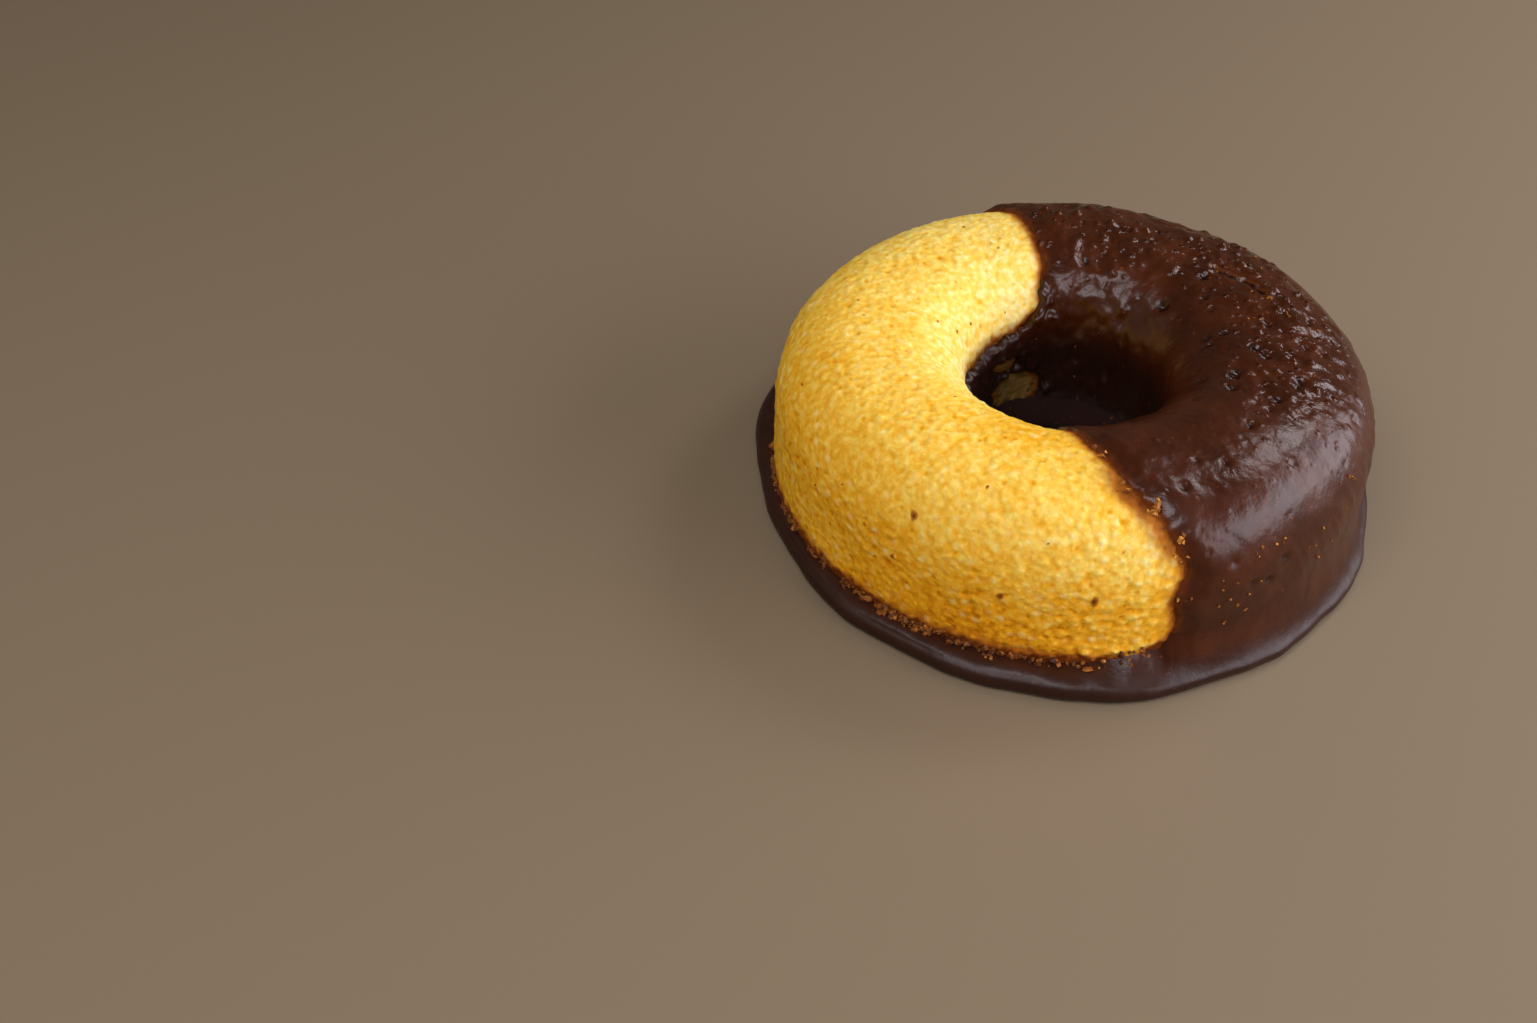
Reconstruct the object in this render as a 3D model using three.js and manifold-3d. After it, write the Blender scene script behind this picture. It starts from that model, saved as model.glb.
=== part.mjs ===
// A ring of golden sponge cake, half dipped in dark chocolate and standing on a chocolate foot.
// Millimetres, +Z up. The origin is the middle of the flat underside, and the dipped half faces +X.
import * as THREE from "three";
import { mergeVertices } from "three/addons/utils/BufferGeometryUtils.js";
import Module from "manifold-3d";

const { degToRad, lerp, smoothstep } = THREE.MathUtils;

// Driving dimensions of the cake
const CAKE_MID_RADIUS = 26.8; // from the ring's axis to the middle of its section
const CAKE_HALF_WIDTH = 13; // half of the section's width
const CAKE_CROWN = 25.8; // height of the crown
const CAKE_WIDEST = 12.4; // height where the sides end and the dome starts
const CAKE_UNDERSIDE = 1.8; // height of the flat underside, on the chocolate
const CAKE_FULLNESS = 2.6; // exponent of the domed section: 2 is an ellipse, more is squarer
const CAKE_FLARE = 0.3; // how far the sides spread towards the underside
const CAKE_OVAL = 0.7; // the outside is wider by this along OVAL_ANGLE, and narrower across it
const OVAL_ANGLE = degToRad(-12);
const CAKE_LEAN = 0.0011; // the cake baked taller towards -Y, by this share for each millimetre

// Driving dimensions of the chocolate
const COAT_THICKNESS = 1; // of the dipped half
const COAT_SINK = 1; // how deep the bare half of the coat's form runs under the cake's surface
const COAT_FEATHER = 1.3; // half of the width over which the coat thins out at its edge
const COAT_RIPPLE = 0.2; // height of the slow waves in the coat
const FOOT_RADIUS = 43.4; // outer edge of the foot
const FOOT_SHIFT = new THREE.Vector2(0.9, 0.4); // the foot set this far off the cake's middle
const FOOT_HOLE_RADIUS = 10.2; // inner edge of the foot, inside the hole
const FOOT_EDGE = 1.6; // rounding of the foot's edge
const FOOT_SLOPE_DEPTH = 0.8; // how far inside the cake's surface the foot's slope ends

// The foot's slope against bare cake and against the coat, which flows out into it.
// edgeEnd is how far past level the edge's rounding turns, top the height where the slope meets the wall,
// and bendOut and bendUp place the corner that the slope bends towards.
const BARE_SLOPE = { edgeEnd: degToRad(60), top: 3.7, bendOut: 1, bendUp: 0.4 };
const COATED_SLOPE = { edgeEnd: degToRad(28), top: 9.5, bendOut: 1.7, bendUp: 1.6 };
const FOOT_LOBE = 1.9; // the chocolate pooled this much further out around LOBE_ANGLE
const LOBE_ANGLE = degToRad(152);
const LOBE_SPREAD = degToRad(24);
const FOOT_WAVE = 0.2; // height of the waves in the foot's outline
const SLOPE_FADE = degToRad(16); // the slope changes height over this angle at each seam
const GAP = 0.3; // between the cake and the chocolate round it

// Edges of the dipped half, as angles about the axis, and of the chocolate inside the hole
const FRONT_SEAM = degToRad(-76);
const FRONT_SEAM_SWEEP = 0.25; // it swings back by this share of the angle climbed past SWEEP_START
const SWEEP_START = degToRad(45); // angles climbed are from the outside, over the crown, into the hole
const BACK_SEAM = degToRad(97);
const BACK_SEAM_SWING = degToRad(15); // it swings on by this, low on the outside
const SWING_START = degToRad(58);
const SWING_END = degToRad(36);
const DIPPED_MIDDLE = degToRad(10);
const SEAM_WOBBLE = 0.5; // millimetres
const HOLE_BAND_HIGH = 16; // top of the chocolate on the hole's wall, next to the back seam
const HOLE_BAND_LOW = 6; // and round the rest of the bare half
const HOLE_BAND_TURN = degToRad(63); // it drops this far past the back seam
const HOLE_BAND_FADE = degToRad(18);
const BARE_PATCH = { angle: degToRad(113), height: 8, halfWidth: 4.1, halfHeight: 5 };

// Facets
const RING_STEPS = 72;
const DOME_STEPS = 24;
const SIDE_STEPS = 4;
const EDGE_STEPS = 5;
const SLOPE_STEPS = 4;

const wasm = await Module();
wasm.setup();

// The difference of two angles, from -PI to PI.
function turn(from, to) {
  return Math.atan2(Math.sin(to - from), Math.cos(to - from));
}

// The cake's section at an angle about the axis, as (radius, height) points.
// They run from the outer foot, over the crown, to the inner foot.
function cakeSection(angle) {
  const points = [];
  for (let i = 0; i < SIDE_STEPS; i++) {
    points.push(sidePoint(1, i / SIDE_STEPS));
  }
  for (let i = 0; i <= DOME_STEPS; i++) {
    points.push(domePoint((Math.PI * i) / DOME_STEPS));
  }
  for (let i = SIDE_STEPS - 1; i >= 0; i--) {
    points.push(sidePoint(-1, i / SIDE_STEPS));
  }
  return points.map((point) => settle(point, angle));
}

// A point on the upright side below the dome.
// side is 1 outside and -1 in the hole, and rise is 0 at the underside.
function sidePoint(side, rise) {
  const flare = CAKE_FLARE * (1 - rise) ** 2;
  const height = lerp(CAKE_UNDERSIDE, CAKE_WIDEST, rise);
  return new THREE.Vector2(CAKE_MID_RADIUS + side * (CAKE_HALF_WIDTH + flare), height);
}

// A point on the domed top, a superellipse. climb is 0 outside, half a turn in the hole.
function domePoint(climb) {
  const across = Math.sign(Math.cos(climb)) * Math.abs(Math.cos(climb)) ** (2 / CAKE_FULLNESS);
  const up = Math.abs(Math.sin(climb)) ** (2 / CAKE_FULLNESS);
  const height = CAKE_WIDEST + (CAKE_CROWN - CAKE_WIDEST) * up;
  return new THREE.Vector2(CAKE_MID_RADIUS + CAKE_HALF_WIDTH * across, height);
}

// Makes the section oval and lets the cake lean, as it baked.
function settle(point, angle) {
  const inner = CAKE_MID_RADIUS - CAKE_HALF_WIDTH;
  const share = (point.x - inner) / (2 * CAKE_HALF_WIDTH);
  const radius = point.x + share * CAKE_OVAL * Math.cos(2 * (angle - OVAL_ANGLE));
  const lean = 1 - CAKE_LEAN * radius * Math.sin(angle);
  return new THREE.Vector2(radius, CAKE_UNDERSIDE + (point.y - CAKE_UNDERSIDE) * lean);
}

// A closed section moved out along its normals by distance(point).
function offsetSection(section, distance) {
  return section.map((point, i) => {
    const before = section[(i + section.length - 1) % section.length];
    const after = section[(i + 1) % section.length];
    const along = after.clone().sub(before).normalize();
    const outward = new THREE.Vector2(along.y, -along.x);
    return point.clone().addScaledVector(outward, distance(point));
  });
}

// How far a point lies inside the chocolate's edge, in millimetres. It is negative on bare cake.
function coatReach(angle, point) {
  const climb = Math.atan2(point.y - CAKE_WIDEST, point.x - CAKE_MID_RADIUS);
  const wobble = SEAM_WOBBLE * (Math.sin(5 * climb + 1) + 0.6 * Math.sin(11 * climb));
  const frontSeam = FRONT_SEAM - FRONT_SEAM_SWEEP * Math.max(0, climb - SWEEP_START);
  const backSeam = BACK_SEAM + BACK_SEAM_SWING * (1 - smoothstep(climb, SWING_END, SWING_START));
  const pastMiddle = turn(DIPPED_MIDDLE, angle);
  const toFront = pastMiddle + DIPPED_MIDDLE - frontSeam;
  const toBack = backSeam - DIPPED_MIDDLE - pastMiddle;
  const dipped = point.x * Math.min(toFront, toBack) + wobble;
  if (point.x > CAKE_MID_RADIUS) return dipped;

  const sinceBack = (angle - BACK_SEAM + 4 * Math.PI) % (2 * Math.PI);
  const fade = smoothstep(sinceBack, HOLE_BAND_TURN - HOLE_BAND_FADE, HOLE_BAND_TURN + HOLE_BAND_FADE);
  const band = lerp(HOLE_BAND_HIGH, HOLE_BAND_LOW, fade) + SEAM_WOBBLE * Math.sin(9 * angle) - point.y;
  const across = (point.x * turn(BARE_PATCH.angle, angle)) / BARE_PATCH.halfWidth;
  const up = (point.y - BARE_PATCH.height) / BARE_PATCH.halfHeight;
  const outsidePatch = (Math.hypot(across, up) - 1) * BARE_PATCH.halfWidth;
  return Math.min(Math.max(dipped, band), outsidePatch);
}

// Slow waves that the chocolate set in.
function coatRipple(angle, point) {
  const climb = Math.atan2(point.y - CAKE_WIDEST, point.x - CAKE_MID_RADIUS);
  return (-COAT_RIPPLE * (Math.sin(6 * angle + 2 * climb) + Math.sin(11 * angle - 3 * climb))) / 2;
}

// The chocolate's outer section: above the dipped cake, and sunk under the surface of the bare cake.
function coatSection(angle) {
  return offsetSection(cakeSection(angle), (point) => {
    const cover = smoothstep(coatReach(angle, point), -COAT_FEATHER, COAT_FEATHER);
    return lerp(-COAT_SINK, COAT_THICKNESS + coatRipple(angle, point), cover);
  });
}

// The foot's section: flat below, rounded at both edges, sloping up to the cake's sides.
function footSection(angle) {
  const shift = FOOT_SHIFT.x * Math.cos(angle) + FOOT_SHIFT.y * Math.sin(angle);
  const wave = FOOT_WAVE * (Math.sin(3 * angle + 0.5) + Math.sin(7 * angle) + Math.sin(13 * angle + 2));
  const lobe = FOOT_LOBE * Math.exp(-((turn(LOBE_ANGLE, angle) / LOBE_SPREAD) ** 2));
  const pastMiddle = Math.abs(turn(DIPPED_MIDDLE, angle));
  const bare = smoothstep(pastMiddle, Math.PI / 2 - SLOPE_FADE, Math.PI / 2 + SLOPE_FADE);
  const outer = footEdge(FOOT_RADIUS + shift + wave + lobe, 1, bare);
  const inner = footEdge(FOOT_HOLE_RADIUS + FOOT_WAVE * Math.sin(4 * angle), -1, bare);
  return [...outer, ...inner.reverse()];
}

// One edge of the foot, from its underside round to the slope's top.
// side is 1 outside and -1 in the hole, and bare is 1 against bare cake and 0 against the coat.
function footEdge(radius, side, bare) {
  const slopeValue = (name) => lerp(COATED_SLOPE[name], BARE_SLOPE[name], bare);
  const middle = new THREE.Vector2(radius - side * FOOT_EDGE, FOOT_EDGE);
  const points = [];
  for (let i = 0; i <= EDGE_STEPS; i++) {
    const round = lerp(-Math.PI / 2, slopeValue("edgeEnd"), i / EDGE_STEPS);
    const spot = new THREE.Vector2(side * Math.cos(round), Math.sin(round));
    points.push(middle.clone().addScaledVector(spot, FOOT_EDGE));
  }
  const edgeTop = points.at(-1);
  const wall = CAKE_MID_RADIUS + side * CAKE_HALF_WIDTH;
  const corner = new THREE.Vector2(wall + side * slopeValue("bendOut"), edgeTop.y + slopeValue("bendUp"));
  const end = new THREE.Vector2(wall - side * FOOT_SLOPE_DEPTH, slopeValue("top"));
  const slope = new THREE.QuadraticBezierCurve(edgeTop, corner, end);
  return [...points, ...slope.getPoints(SLOPE_STEPS).slice(1)];
}

// A ring swept round Z from a section that changes with the angle, as one closed geometry.
function sweepRing(sectionAt) {
  const closed = [...sectionAt(0), sectionAt(0)[0]];
  const geometry = new THREE.LatheGeometry(closed, RING_STEPS);
  const position = geometry.getAttribute("position");
  for (let step = 0; step <= RING_STEPS; step++) {
    const angle = ((step % RING_STEPS) / RING_STEPS) * 2 * Math.PI;
    const section = sectionAt(angle);
    closed.forEach((_, i) => {
      const point = section[i % section.length];
      const index = step * closed.length + i;
      position.setXYZ(index, point.x * Math.cos(angle), point.x * Math.sin(angle), point.y);
    });
  }
  geometry.deleteAttribute("normal");
  geometry.deleteAttribute("uv");
  return mergeVertices(geometry);
}

function toSolid(geometry) {
  const vertProperties = new Float32Array(geometry.getAttribute("position").array);
  const triVerts = new Uint32Array(geometry.index.array);
  return new wasm.Manifold(new wasm.Mesh({ numProp: 3, vertProperties, triVerts }));
}

function toGeometry(solid) {
  const mesh = solid.getMesh();
  const geometry = new THREE.BufferGeometry();
  const position = new Float32Array(mesh.vertProperties);
  geometry.setAttribute("position", new THREE.BufferAttribute(position, 3));
  geometry.setIndex(new THREE.BufferAttribute(new Uint32Array(mesh.triVerts), 1));
  geometry.computeVertexNormals();
  return geometry;
}

// The largest body of a solid, without the loose scraps that a cut along a thin edge leaves.
function largestBody(solid) {
  return solid.decompose().sort((a, b) => b.volume() - a.volume())[0];
}

function makeCake() {
  const geometry = sweepRing(cakeSection);
  geometry.computeVertexNormals();
  const material = new THREE.MeshStandardMaterial({ color: 0xe0a030, roughness: 0.9, metalness: 0 });
  const cake = new THREE.Mesh(geometry, material);
  cake.name = "cake";
  return cake;
}

function makeChocolate() {
  const coat = toSolid(sweepRing(coatSection));
  const foot = toSolid(sweepRing(footSection));
  const room = toSolid(sweepRing((angle) => offsetSection(cakeSection(angle), () => GAP)));
  const geometry = toGeometry(largestBody(coat.add(foot).subtract(room)));
  const material = new THREE.MeshStandardMaterial({ color: 0x3a1f14, roughness: 0.4, metalness: 0 });
  const chocolate = new THREE.Mesh(geometry, material);
  chocolate.name = "chocolate";
  return chocolate;
}

const doughnut = new THREE.Group();
doughnut.add(makeCake(), makeChocolate());
const middle = new THREE.Box3().setFromObject(doughnut).getCenter(new THREE.Vector3());
doughnut.position.set(-middle.x, -middle.y, 0);

export default doughnut;
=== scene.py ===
# %% [markdown]
# # A half-dipped ring doughnut
# This lesson dresses a plain CAD doughnut. The CAD model gives the sizes, and Blender gives the look:
# a fine golden crumb, a satin coat of dark chocolate, and the crumbs that dipping leaves behind.
# We start by loading the CAD model as a fixed frame and keeping its box.

# %% Load the frame
import itertools
import math
import random

import bmesh
import bpy
import numpy as np
from mathutils import Euler, Matrix, Vector


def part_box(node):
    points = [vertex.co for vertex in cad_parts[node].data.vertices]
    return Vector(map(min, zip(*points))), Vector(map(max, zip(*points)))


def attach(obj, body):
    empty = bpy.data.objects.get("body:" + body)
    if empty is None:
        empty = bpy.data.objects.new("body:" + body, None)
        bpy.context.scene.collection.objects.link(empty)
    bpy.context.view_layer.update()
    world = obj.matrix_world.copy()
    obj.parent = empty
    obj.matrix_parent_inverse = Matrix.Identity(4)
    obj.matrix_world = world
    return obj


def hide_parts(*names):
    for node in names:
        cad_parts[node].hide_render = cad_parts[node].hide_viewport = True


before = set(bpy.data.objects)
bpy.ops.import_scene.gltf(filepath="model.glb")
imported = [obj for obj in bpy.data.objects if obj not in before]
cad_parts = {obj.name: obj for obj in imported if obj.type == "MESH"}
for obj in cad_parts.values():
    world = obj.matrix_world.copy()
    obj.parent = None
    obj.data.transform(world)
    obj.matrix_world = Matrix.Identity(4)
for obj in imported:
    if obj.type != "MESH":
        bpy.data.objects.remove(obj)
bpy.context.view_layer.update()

MM = 0.001  # sizes below are in millimetres, and Blender works in metres
cake_low, cake_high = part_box("cake")
ring_axis = [(low + high) / 2 / MM for low, high in zip(cake_low, cake_high)]
print("the ring's axis stands at", [round(value, 2) for value in ring_axis[:2]], "mm")

# %% [markdown]
# ## The cake's section
# A ring cake is one section carried round an axis. The section is a dome on upright sides, as the tin
# shapes it. An ellipse would be too pointed at the crown, so the dome is a superellipse, whose exponent
# sets its fullness. We keep the section as three arrays: the length along it, and the radius and height
# at each length. Later steps can then ask for evenly spaced points, which angles wouldn't give.

# %% Measure out the section
CAKE_MID_RADIUS = 26.8  # from the ring's axis to the middle of the section
CAKE_HALF_WIDTH = 13.0
CAKE_CROWN = 25.8
CAKE_WIDEST = 12.4  # height where the sides end and the dome starts
CAKE_UNDERSIDE = 1.8
CAKE_FULLNESS = 2.6
CAKE_FLARE = 0.3  # the sides spread by this towards the underside


def cake_outline():
    """Lengths, radii and heights from the outer bottom edge, over the crown, to the inner bottom edge."""
    rise = np.linspace(0, 1, 60, endpoint=False)
    side_width = CAKE_HALF_WIDTH + CAKE_FLARE * (1 - rise) ** 2
    side_height = CAKE_UNDERSIDE + (CAKE_WIDEST - CAKE_UNDERSIDE) * rise
    climb = np.linspace(0, math.pi, 721)
    power = 2 / CAKE_FULLNESS
    dome_width = CAKE_HALF_WIDTH * np.sign(np.cos(climb)) * np.abs(np.cos(climb)) ** power
    dome_height = CAKE_WIDEST + (CAKE_CROWN - CAKE_WIDEST) * np.abs(np.sin(climb)) ** power
    width = np.concatenate([side_width, dome_width, -side_width[::-1]])
    height = np.concatenate([side_height, dome_height, side_height[::-1]])
    steps = np.hypot(np.diff(width), np.diff(height))
    return np.concatenate([[0], np.cumsum(steps)]), CAKE_MID_RADIUS + width, height


OUTLINE = cake_outline()
OUTLINE_LENGTH = OUTLINE[0][-1]
print(f"the section is {OUTLINE_LENGTH:.1f} mm long, without the underside")

# %% [markdown]
# A baked ring is never perfectly round. This one is a little oval and a little taller at the front.
# `cake_surface` gives any point of the real surface from an angle round the ring and a length along the
# section, and it can lift the point off the surface. Cake, chocolate and crumbs all use it.
# A place on the section is also told by its climb: 0 outside, a quarter turn at the crown, half a turn
# in the hole.

# %% Place points on the cake
CAKE_OVAL = 0.7
OVAL_ANGLE = math.radians(-12)
CAKE_LEAN = 0.0011
NORMAL_STEP = 0.3  # half of the span over which the normal is measured


def settle(radius, height, angle):
    """Makes the ring oval and lets it lean."""
    share = (radius - CAKE_MID_RADIUS + CAKE_HALF_WIDTH) / (2 * CAKE_HALF_WIDTH)
    radius = radius + share * CAKE_OVAL * np.cos(2 * (angle - OVAL_ANGLE))
    lean = 1 - CAKE_LEAN * radius * np.sin(angle)
    return radius, CAKE_UNDERSIDE + (height - CAKE_UNDERSIDE) * lean


def cake_surface(angle, length, lift=0.0):
    """Radius and height of a point on the cake, lifted off it by lift millimetres."""
    lengths, radii, heights = OUTLINE
    before = np.clip(length - NORMAL_STEP, 0, OUTLINE_LENGTH)
    after = np.clip(length + NORMAL_STEP, 0, OUTLINE_LENGTH)
    along_radius = np.interp(after, lengths, radii) - np.interp(before, lengths, radii)
    along_height = np.interp(after, lengths, heights) - np.interp(before, lengths, heights)
    span = np.hypot(along_radius, along_height)
    radius, height = settle(np.interp(length, lengths, radii), np.interp(length, lengths, heights), angle)
    return radius + lift * along_height / span, height - lift * along_radius / span


def climb_of(radius, height):
    """The climb, counted on from just outside the underside, so that it never jumps on the way over."""
    raw = np.arctan2(height - CAKE_WIDEST, radius - CAKE_MID_RADIUS)
    return np.mod(raw + math.pi / 2, math.tau) - math.pi / 2


def length_at(climb):
    """The length along the section at one climb."""
    lengths, radii, heights = OUTLINE
    return np.interp(climb, climb_of(radii, heights), lengths)


def to_row(angle, radius, height):
    """Points in millimetres in the shared frame, one to a row."""
    x = ring_axis[0] + radius * np.cos(angle)
    y = ring_axis[1] + radius * np.sin(angle)
    return np.column_stack([x, y, height + np.zeros_like(x)])


front_crown = cake_surface(math.radians(-90), OUTLINE_LENGTH / 2)[1]
print("the crown is", front_crown.round(1), "mm high at the front")

# %% [markdown]
# ## Where the chocolate ends
# The doughnut was dipped on its side, so the chocolate ends in two seams, and some ran into the hole.
# One function says how far a point lies inside the chocolate's edge. It is negative on bare cake.
# The cake's browned edge, the coat's thickness and the crumbs on the seams all follow from that number.

# %% Measure the distance to the chocolate's edge
FRONT_SEAM = (  # climb and angle in degrees, from the outside to the hole
    (30.0, -76.5),
    (58.0, -80.8),
    (97.0, -90.0),
    (128.0, -101.8),
    (180.0, -117.0),
)
BACK_SEAM = math.radians(97)
BACK_SEAM_SWING = math.radians(9)
SWING_START = math.radians(78)
SWING_END = math.radians(34)
DIPPED_MIDDLE = math.radians(10)
FOOT_SLOPE_TOP = 3.7  # where the foot's slope meets the bare cake
SEAM_WOBBLE = 0.35
SEAM_CORNER = 5.0  # the chocolate reaches this much further where a seam meets the foot
SEAM_CORNER_TOP = 9.0
HOLE_BAND_HIGH = 16.0  # the chocolate's level on the hole's wall, on the side of the back seam
HOLE_BAND_RISE = 3.2  # and higher by this right at the seam
HOLE_BAND_LOW = 6.0
HOLE_BAND_TURN = math.radians(95)
HOLE_BAND_FADE = math.radians(18)
BARE_PATCHES = (  # angle, height, half width and half height of the bare places low in the hole
    (math.radians(112), 6.0, 4.3, 3.8),
    (math.radians(120), 11.4, 2.4, 1.4),
)


def ease(value, start, end):
    """0 below start, 1 above end and a smooth step between."""
    share = np.clip((value - start) / (end - start), 0, 1)
    return share * share * (3 - 2 * share)


def turn(start, end):
    """The angle from start to end, between minus half a turn and half a turn."""
    return np.arctan2(np.sin(end - start), np.cos(end - start))


def front_seam(climb):
    climbs, angles = np.radians(FRONT_SEAM).T
    return np.interp(climb, climbs, angles)


def back_seam(climb):
    return BACK_SEAM + BACK_SEAM_SWING * (1 - ease(climb, SWING_END, SWING_START))


def seam_wobble(climb):
    return SEAM_WOBBLE * (np.sin(5 * climb + 1) + 0.5 * np.sin(11 * climb))


def outside_patches(angle, radius, height):
    """The distance to the nearest bare patch in the hole, negative inside it."""
    nearest = np.full_like(radius, np.inf)
    for middle, level, half_width, half_height in BARE_PATCHES:
        across = radius * turn(middle, angle) / half_width
        up = (height - level) / half_height
        nearest = np.minimum(nearest, (np.hypot(across, up) - 1) * half_height)
    return nearest


def coat_reach(angle, radius, height):
    """How far points lie inside the chocolate's edge, in millimetres."""
    climb = climb_of(radius, height)
    past_middle = turn(DIPPED_MIDDLE, angle)
    to_front = past_middle + DIPPED_MIDDLE - front_seam(climb)
    to_back = back_seam(climb) - DIPPED_MIDDLE - past_middle
    corner = SEAM_CORNER * (1 - ease(height, FOOT_SLOPE_TOP, SEAM_CORNER_TOP))
    dipped = radius * np.minimum(to_front, to_back) + seam_wobble(climb) + corner

    since_back = np.maximum(0, turn(BACK_SEAM, angle))
    fade = ease(since_back, HOLE_BAND_TURN - HOLE_BAND_FADE, HOLE_BAND_TURN + HOLE_BAND_FADE)
    level = HOLE_BAND_HIGH + (HOLE_BAND_LOW - HOLE_BAND_HIGH) * fade + SEAM_WOBBLE * np.sin(9 * angle)
    level = level + HOLE_BAND_RISE * (1 - ease(since_back, 0, math.radians(30)))
    in_hole = np.minimum(np.maximum(dipped, level - height), outside_patches(angle, radius, height))
    return np.where(radius > CAKE_MID_RADIUS, dipped, in_hole)


# %% [markdown]
# ## Grain and cells
# Cake and chocolate are uneven at many sizes, and two kinds of noise make that. `grain` is smooth noise:
# every corner of a lattice has its own slope, and a point blends the slopes of the eight corners round it.
# `cells` scatters one middle in each box of a lattice and measures to the nearest one, which gives rounded
# grains like those of a crumb. Both work on whole arrays, so even a fine mesh takes only a moment.

# %% Two kinds of noise
TABLE_SIZE = 256
GRAIN_GAIN = 1.6  # brings the noise to about -1 to 1


def hashed(place, shuffle):
    """A number for each whole-numbered place, always the same one."""
    mixed = shuffle[place[:, 0] % TABLE_SIZE]
    mixed = shuffle[(mixed + place[:, 1]) % TABLE_SIZE]
    return shuffle[(mixed + place[:, 2]) % TABLE_SIZE]


def grain(points, size, seed):
    """Smooth noise from about -1 to 1. size is in millimetres, one number or one for each axis."""
    draw = np.random.default_rng(seed)
    shuffle = draw.permutation(TABLE_SIZE)
    slopes = draw.normal(size=(TABLE_SIZE, 3))
    slopes /= np.linalg.norm(slopes, axis=1, keepdims=True)
    scaled = points / np.asarray(size)
    corner_place = np.floor(scaled).astype(int)
    inside = scaled - corner_place
    blend = inside * inside * (3 - 2 * inside)
    total = np.zeros(len(points))
    for corner in itertools.product((0, 1), repeat=3):
        share = np.prod(np.where(corner, blend, 1 - blend), axis=1)
        slope = slopes[hashed(corner_place + corner, shuffle)]
        total += share * np.einsum("ij,ij->i", slope, inside - corner)
    return GRAIN_GAIN * total


def layered(points, *layers):
    """The sum of layers of grain. Each layer gives a height, a size and a seed."""
    return sum(height * grain(points, size, seed) for height, size, seed in layers)


def cells(points, size, seed):
    """The distance to the nearest of many scattered middles, in sizes, and that middle's own number."""
    draw = np.random.default_rng(seed)
    shuffle = draw.permutation(TABLE_SIZE)
    shifts = draw.random((TABLE_SIZE, 3))
    numbers = draw.random(TABLE_SIZE)
    scaled = points / size
    home = np.floor(scaled).astype(int)
    nearest = np.full(len(points), np.inf)
    number = np.zeros(len(points))
    for step in itertools.product((-1, 0, 1), repeat=3):
        key = hashed(home + step, shuffle)
        distance = np.linalg.norm(home + step + shifts[key] - scaled, axis=1)
        number = np.where(distance < nearest, numbers[key], number)
        nearest = np.minimum(nearest, distance)
    return nearest, number


# %% [markdown]
# ## Rings
# Both big pieces are rings, so one helper makes the raw ring. Spinning a section would do, but it is slow
# on a fine mesh, so a flat grid is rolled into a tube, the tube is bent round, and the doubled vertices
# where its sides and ends meet are merged. Each vertex keeps its row in a layer, so a later step knows
# every vertex's row and angle and can move it to where it belongs.
# Most columns are given to the span of angles that shows the most detail.

# %% Roll up a raw ring
MERGE_DISTANCE = 1e-4


def vertex_points(mesh):
    """A mesh's vertices in millimetres, one to a row."""
    points = np.empty(len(mesh.vertices) * 3)
    mesh.vertices.foreach_get("co", points)
    return points.reshape(-1, 3) / MM


def roll_ring(name, rows, columns, fine_span, fine_share):
    """A raw ring, with the angle and the row of each of its vertices."""
    ring = bmesh.new()
    row_layer = ring.verts.layers.int.new("row")
    bmesh.ops.create_grid(ring, x_segments=rows, y_segments=columns, size=0.5)
    for vert in ring.verts:
        section_share, ring_share = vert.co.x + 0.5, vert.co.y + 0.5
        vert[row_layer] = round(rows * section_share) % rows
        out = 2 + math.cos(math.tau * section_share)
        up = math.sin(math.tau * section_share)
        vert.co = (out * math.cos(math.tau * ring_share), out * math.sin(math.tau * ring_share), up)
    bmesh.ops.remove_doubles(ring, verts=ring.verts, dist=MERGE_DISTANCE)
    bmesh.ops.recalc_face_normals(ring, faces=ring.faces)
    mesh = bpy.data.meshes.new(name)
    ring.to_mesh(mesh)
    ring.free()
    rows_found = np.empty(len(mesh.vertices), dtype=np.int32)
    mesh.attributes["row"].data.foreach_get("value", rows_found)
    mesh.attributes.remove(mesh.attributes["row"])
    points = vertex_points(mesh)
    even = np.mod(np.arctan2(points[:, 1], points[:, 0]), math.tau)
    start, end = fine_span
    angle = np.interp(even, (0, fine_share * math.tau, math.tau), (start, end, start + math.tau))
    piece = bpy.data.objects.new(name, mesh)
    bpy.context.scene.collection.objects.link(piece)
    return piece, angle, rows_found


def move_vertices(mesh, points):
    mesh.vertices.foreach_set("co", (points * MM).ravel())
    mesh.update()


def ring_place(points):
    """Angle, radius and height of points about the ring's axis."""
    x = points[:, 0] - ring_axis[0]
    y = points[:, 1] - ring_axis[1]
    return np.arctan2(y, x), np.hypot(x, y), points[:, 2]


def paint(mesh, name, values):
    """Keeps one number for each vertex, for the materials to read."""
    layer = mesh.attributes.new(name, "FLOAT", "POINT")
    layer.data.foreach_set("value", np.asarray(values, dtype=np.float32))


# %% [markdown]
# ## The sponge
# Sponge cake is a foam: rounded grains, small open pores and slow swells from baking. All of them are real
# relief here, made by moving the vertices of a dense ring along its normals. What is finer than the mesh is
# left to the bump in the material. The crumb is coarser low on the front, and it frays at the bottom edge.

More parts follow.
